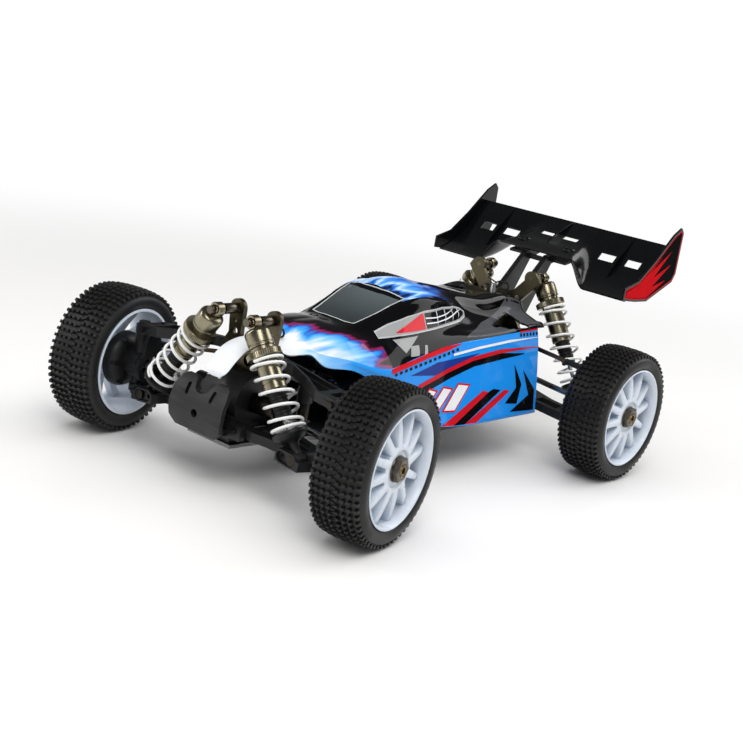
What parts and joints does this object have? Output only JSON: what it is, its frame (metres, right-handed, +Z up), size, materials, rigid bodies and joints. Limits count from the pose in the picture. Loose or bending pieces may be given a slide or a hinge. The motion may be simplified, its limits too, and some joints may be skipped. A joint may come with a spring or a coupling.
{
  "type": "rc buggy",
  "caption": "Off-road model buggy with working double-wishbone suspension, coil-over shock absorbers, steering linkage, painted body shell and rear wing.",
  "frame": {"origin": "on the ground, under the middle of the part's box", "axes": "+X forwards, +Y to the car's left, +Z up"},
  "size_m": [0.506, 0.3213, 0.2115],
  "materials": {
    "chassis_metal": "satin anodised",
    "black_nylon": "moulded matte",
    "tower_metal": "gunmetal anodised",
    "bright_steel": "ground",
    "servo_case": "moulded",
    "motor_can": "black anodised",
    "battery_case": "hard case",
    "shell_paint": "clear sheet painted from inside",
    "wing_black": "glossy",
    "dark_steel": "hardened",
    "turnbuckle_steel": "bronzed",
    "shock_metal": "champagne anodised",
    "spring_white": "powder coated",
    "rim_white": "moulded nylon",
    "tyre_rubber": "soft rubber"
  },
  "bodies": {
    "chassis": {"chassis_plate": "chassis_metal", "guards_and_braces": "black_nylon", "front_bumper": "black_nylon", "front_gearbox": "black_nylon", "rear_gearbox": "black_nylon", "front_shock_tower": "tower_metal", "rear_shock_tower": "tower_metal", "hinge_pins": "bright_steel", "steering_servo": "servo_case", "drive_motor": "motor_can", "battery_and_radio": "battery_case", "body_shell": "shell_paint", "wing_mount": "black_nylon", "wing": "wing_black"},
    "front_left_arm": {"front_left_lower_arm": "black_nylon"},
    "front_left_upper_arm": {"front_left_upper_arm": "black_nylon"},
    "front_left_steering_hub": {"front_left_steering_hub": "black_nylon"},
    "front_left_driveshaft": {"front_left_driveshaft": "bright_steel"},
    "front_left_shock": {"front_left_shock_body": "shock_metal", "front_left_spring": "spring_white"},
    "front_left_shock_rod": {"front_left_shock_rod": "black_nylon"},
    "front_left_wheel": {"front_left_wheel": "rim_white", "front_left_tyre": "tyre_rubber"},
    "front_left_knuckle": {"front_left_knuckle": "black_nylon"},
    "front_right_arm": {"front_right_lower_arm": "black_nylon"},
    "front_right_upper_arm": {"front_right_upper_arm": "black_nylon"},
    "front_right_steering_hub": {"front_right_steering_hub": "black_nylon"},
    "front_right_driveshaft": {"front_right_driveshaft": "bright_steel"},
    "front_right_shock": {"front_right_shock_body": "shock_metal", "front_right_spring": "spring_white"},
    "front_right_shock_rod": {"front_right_shock_rod": "black_nylon"},
    "front_right_wheel": {"front_right_wheel": "rim_white", "front_right_tyre": "tyre_rubber"},
    "front_right_knuckle": {"front_right_knuckle": "black_nylon"},
    "rear_left_arm": {"rear_left_lower_arm": "black_nylon"},
    "rear_left_upper_link": {"rear_left_upper_link": "turnbuckle_steel"},
    "rear_left_hub": {"rear_left_hub": "black_nylon"},
    "rear_left_driveshaft": {"rear_left_driveshaft": "bright_steel"},
    "rear_left_shock": {"rear_left_shock_body": "shock_metal", "rear_left_spring": "spring_white"},
    "rear_left_shock_rod": {"rear_left_shock_rod": "black_nylon"},
    "rear_left_wheel": {"rear_left_wheel": "rim_white", "rear_left_tyre": "tyre_rubber"},
    "rear_right_arm": {"rear_right_lower_arm": "black_nylon"},
    "rear_right_upper_link": {"rear_right_upper_link": "turnbuckle_steel"},
    "rear_right_hub": {"rear_right_hub": "black_nylon"},
    "rear_right_driveshaft": {"rear_right_driveshaft": "bright_steel"},
    "rear_right_shock": {"rear_right_shock_body": "shock_metal", "rear_right_spring": "spring_white"},
    "rear_right_shock_rod": {"rear_right_shock_rod": "black_nylon"},
    "rear_right_wheel": {"rear_right_wheel": "rim_white", "rear_right_tyre": "tyre_rubber"},
    "bellcrank_left": {"bellcrank_left": "black_nylon"},
    "bellcrank_right": {"bellcrank_right": "black_nylon"},
    "servo_horn": {"servo_horn": "black_nylon"},
    "drag_link": {"drag_link": "tower_metal"},
    "tie_rod_left": {"tie_rod_left": "turnbuckle_steel"},
    "tie_rod_right": {"tie_rod_right": "turnbuckle_steel"},
    "centre_drive": {"centre_drive": "dark_steel"},
    "motor_pinion": {"motor_pinion": "dark_steel"}
  },
  "joints": [
    {"name": "front_left_suspension", "type": "hinge", "parent": "chassis", "child": "front_left_arm", "pos_m": [0.19035, 0.024, 0.047], "axis": [1, 0, 0], "range_deg": [-6, 18], "stiffness_Nm_per_rad": 4, "springref_deg": -9.45},
    {"name": "front_left_upper_arm_hinge", "type": "hinge", "parent": "chassis", "child": "front_left_upper_arm", "pos_m": [0.19035, 0.024, 0.095], "axis": [1, 0, 0], "range_deg": [-7, 19]},
    {"name": "front_left_steering_hub_hinge", "type": "hinge", "parent": "front_left_arm", "child": "front_left_steering_hub", "pos_m": [0.19035, 0.097, 0.04], "axis": [1, 0, 0], "range_deg": [-19, 7]},
    {"name": "front_left_driveshaft_swing", "type": "hinge", "parent": "chassis", "child": "front_left_driveshaft", "pos_m": [0.19035, 0.035, 0.064], "axis": [1, 0, 0], "range_deg": [-7, 19]},
    {"name": "front_left_shock_swing", "type": "hinge", "parent": "chassis", "child": "front_left_shock", "pos_m": [0.20485, 0.0184, 0.1247], "axis": [1, 0, 0], "range_deg": [-3.36, 7.41]},
    {"name": "front_left_shock_stroke", "type": "slide", "parent": "front_left_shock", "child": "front_left_shock_rod", "axis": [0, 0.5959, -0.803], "range_m": [-0.01482, 0.00561], "deforming": ["front_left_spring"]},
    {"name": "front_left_steer", "type": "hinge", "parent": "front_left_steering_hub", "child": "front_left_knuckle", "pos_m": [0.19035, 0.108, 0.057], "axis": [0, 0, 1], "range_deg": [-33, 13]},
    {"name": "front_left_spin", "type": "hinge", "parent": "front_left_knuckle", "child": "front_left_wheel", "pos_m": [0.18618, 0.13164, 0.057], "axis": [-0.1736, 0.9848, 0], "continuous": true},
    {"name": "front_right_suspension", "type": "hinge", "parent": "chassis", "child": "front_right_arm", "pos_m": [0.19035, -0.024, 0.047], "axis": [-1, 0, 0], "range_deg": [-6, 18], "stiffness_Nm_per_rad": 4, "springref_deg": -9.45},
    {"name": "front_right_upper_arm_hinge", "type": "hinge", "parent": "chassis", "child": "front_right_upper_arm", "pos_m": [0.19035, -0.024, 0.095], "axis": [-1, 0, 0], "range_deg": [-7, 19]},
    {"name": "front_right_steering_hub_hinge", "type": "hinge", "parent": "front_right_arm", "child": "front_right_steering_hub", "pos_m": [0.19035, -0.097, 0.04], "axis": [-1, 0, 0], "range_deg": [-19, 7]},
    {"name": "front_right_driveshaft_swing", "type": "hinge", "parent": "chassis", "child": "front_right_driveshaft", "pos_m": [0.19035, -0.035, 0.064], "axis": [-1, 0, 0], "range_deg": [-7, 19]},
    {"name": "front_right_shock_swing", "type": "hinge", "parent": "chassis", "child": "front_right_shock", "pos_m": [0.20485, -0.0184, 0.1247], "axis": [-1, 0, 0], "range_deg": [-3.36, 7.41]},
    {"name": "front_right_shock_stroke", "type": "slide", "parent": "front_right_shock", "child": "front_right_shock_rod", "axis": [0, -0.5959, -0.803], "range_m": [-0.01482, 0.00561], "deforming": ["front_right_spring"]},
    {"name": "front_right_steer", "type": "hinge", "parent": "front_right_steering_hub", "child": "front_right_knuckle", "pos_m": [0.19035, -0.108, 0.057], "axis": [0, 0, 1], "range_deg": [-34, 14]},
    {"name": "front_right_spin", "type": "hinge", "parent": "front_right_knuckle", "child": "front_right_wheel", "pos_m": [0.19452, -0.13164, 0.057], "axis": [-0.1736, 0.9848, 0], "continuous": true},
    {"name": "rear_left_suspension", "type": "hinge", "parent": "chassis", "child": "rear_left_arm", "pos_m": [-0.13465, 0.024, 0.047], "axis": [1, 0, 0], "range_deg": [-6, 18], "stiffness_Nm_per_rad": 4.5, "springref_deg": -9.45},
    {"name": "rear_left_upper_link_hinge", "type": "hinge", "parent": "chassis", "child": "rear_left_upper_link", "pos_m": [-0.12215, 0.024, 0.095], "axis": [1, 0, 0], "range_deg": [-7, 19]},
    {"name": "rear_left_hub_hinge", "type": "hinge", "parent": "rear_left_arm", "child": "rear_left_hub", "pos_m": [-0.13465, 0.103, 0.04], "axis": [1, 0, 0], "range_deg": [-19, 7]},
    {"name": "rear_left_driveshaft_swing", "type": "hinge", "parent": "chassis", "child": "rear_left_driveshaft", "pos_m": [-0.13465, 0.033, 0.064], "axis": [1, 0, 0], "range_deg": [-7, 19]},
    {"name": "rear_left_shock_swing", "type": "hinge", "parent": "chassis", "child": "rear_left_shock", "pos_m": [-0.14915, 0.0285, 0.149], "axis": [1, 0, 0], "range_deg": [-2.98, 6.36]},
    {"name": "rear_left_shock_stroke", "type": "slide", "parent": "rear_left_shock", "child": "rear_left_shock_rod", "axis": [0, 0.5531, -0.8331], "range_m": [-0.02075, 0.00758], "deforming": ["rear_left_spring"]},
    {"name": "rear_left_spin", "type": "hinge", "parent": "rear_left_hub", "child": "rear_left_wheel", "pos_m": [-0.13465, 0.1315, 0.057], "axis": [0, 1, 0], "continuous": true},
    {"name": "rear_right_suspension", "type": "hinge", "parent": "chassis", "child": "rear_right_arm", "pos_m": [-0.13465, -0.024, 0.047], "axis": [-1, 0, 0], "range_deg": [-6, 18], "stiffness_Nm_per_rad": 4.5, "springref_deg": -9.45},
    {"name": "rear_right_upper_link_hinge", "type": "hinge", "parent": "chassis", "child": "rear_right_upper_link", "pos_m": [-0.12215, -0.024, 0.095], "axis": [-1, 0, 0], "range_deg": [-7, 19]},
    {"name": "rear_right_hub_hinge", "type": "hinge", "parent": "rear_right_arm", "child": "rear_right_hub", "pos_m": [-0.13465, -0.103, 0.04], "axis": [-1, 0, 0], "range_deg": [-19, 7]},
    {"name": "rear_right_driveshaft_swing", "type": "hinge", "parent": "chassis", "child": "rear_right_driveshaft", "pos_m": [-0.13465, -0.033, 0.064], "axis": [-1, 0, 0], "range_deg": [-7, 19]},
    {"name": "rear_right_shock_swing", "type": "hinge", "parent": "chassis", "child": "rear_right_shock", "pos_m": [-0.14915, -0.0285, 0.149], "axis": [-1, 0, 0], "range_deg": [-2.98, 6.36]},
    {"name": "rear_right_shock_stroke", "type": "slide", "parent": "rear_right_shock", "child": "rear_right_shock_rod", "axis": [0, -0.5531, -0.8331], "range_m": [-0.02075, 0.00758], "deforming": ["rear_right_spring"]},
    {"name": "rear_right_spin", "type": "hinge", "parent": "rear_right_hub", "child": "rear_right_wheel", "pos_m": [-0.13465, -0.1315, 0.057], "axis": [0, 1, 0], "continuous": true},
    {"name": "bellcrank_left_pivot", "type": "hinge", "parent": "chassis", "child": "bellcrank_left", "pos_m": [0.14585, 0.026, 0.067], "axis": [0, 0, 1], "range_deg": [-34, 14]},
    {"name": "bellcrank_right_pivot", "type": "hinge", "parent": "chassis", "child": "bellcrank_right", "pos_m": [0.14585, -0.026, 0.067], "axis": [0, 0, 1], "range_deg": [-34, 14]},
    {"name": "servo_horn_pivot", "type": "hinge", "parent": "chassis", "child": "servo_horn", "pos_m": [0.10385, -0.04, 0.077], "axis": [0, 0, 1], "range_deg": [-34, 14]},
    {"name": "drag_link_pivot", "type": "hinge", "parent": "bellcrank_left", "child": "drag_link", "pos_m": [0.12615, 0.02253, 0.0694], "axis": [0, 0, 1], "range_deg": [-14, 34]},
    {"name": "tie_rod_left_pitch", "type": "hinge", "parent": "drag_link", "child": "tie_rod_left", "pos_m": [0.12615, 0.03153, 0.0772], "axis": [1, 0, 0], "range_deg": [-7, 19]},
    {"name": "tie_rod_right_pitch", "type": "hinge", "parent": "drag_link", "child": "tie_rod_right", "pos_m": [0.12615, -0.03847, 0.0772], "axis": [-1, 0, 0], "range_deg": [-7, 19]},
    {"name": "centre_drive_spin", "type": "hinge", "parent": "chassis", "child": "centre_drive", "pos_m": [0.01285, 0, 0.0605], "axis": [1, 0, 0], "continuous": true},
    {"name": "motor_pinion_spin", "type": "hinge", "parent": "chassis", "child": "motor_pinion", "pos_m": [0.01285, -0.029, 0.0605], "axis": [1, 0, 0], "continuous": true}
  ],
  "couplings": [
    {"joint": "front_left_upper_arm_hinge", "follows": "front_left_suspension", "ratio": 1},
    {"joint": "front_left_steering_hub_hinge", "follows": "front_left_suspension", "ratio": -1},
    {"joint": "front_left_driveshaft_swing", "follows": "front_left_suspension", "ratio": 1},
    {"joint": "front_left_shock_swing", "follows": "front_left_suspension", "ratio": 0.33759},
    {"joint": "front_left_shock_stroke", "follows": "front_left_suspension", "m_per_rad": -0.044003},
    {"joint": "front_right_upper_arm_hinge", "follows": "front_right_suspension", "ratio": 1},
    {"joint": "front_right_steering_hub_hinge", "follows": "front_right_suspension", "ratio": -1},
    {"joint": "front_right_driveshaft_swing", "follows": "front_right_suspension", "ratio": 1},
    {"joint": "front_right_shock_swing", "follows": "front_right_suspension", "ratio": 0.33759},
    {"joint": "front_right_shock_stroke", "follows": "front_right_suspension", "m_per_rad": -0.044003},
    {"joint": "front_right_steer", "follows": "front_left_steer", "ratio": 1},
    {"joint": "rear_left_upper_link_hinge", "follows": "rear_left_suspension", "ratio": 1},
    {"joint": "rear_left_hub_hinge", "follows": "rear_left_suspension", "ratio": -1},
    {"joint": "rear_left_driveshaft_swing", "follows": "rear_left_suspension", "ratio": 1},
    {"joint": "rear_left_shock_swing", "follows": "rear_left_suspension", "ratio": 0.2822},
    {"joint": "rear_left_shock_stroke", "follows": "rear_left_suspension", "m_per_rad": -0.062871},
    {"joint": "rear_right_upper_link_hinge", "follows": "rear_right_suspension", "ratio": 1},
    {"joint": "rear_right_hub_hinge", "follows": "rear_right_suspension", "ratio": -1},
    {"joint": "rear_right_driveshaft_swing", "follows": "rear_right_suspension", "ratio": 1},
    {"joint": "rear_right_shock_swing", "follows": "rear_right_suspension", "ratio": 0.2822},
    {"joint": "rear_right_shock_stroke", "follows": "rear_right_suspension", "m_per_rad": -0.062871},
    {"joint": "bellcrank_left_pivot", "follows": "front_left_steer", "ratio": 1},
    {"joint": "bellcrank_right_pivot", "follows": "front_left_steer", "ratio": 1},
    {"joint": "servo_horn_pivot", "follows": "front_left_steer", "ratio": 1},
    {"joint": "drag_link_pivot", "follows": "front_left_steer", "ratio": -1},
    {"joint": "tie_rod_left_pitch", "follows": "front_left_suspension", "ratio": 1},
    {"joint": "tie_rod_right_pitch", "follows": "front_right_suspension", "ratio": 1},
    {"joint": "motor_pinion_spin", "follows": "centre_drive_spin", "ratio": -3.1429}
  ]
}
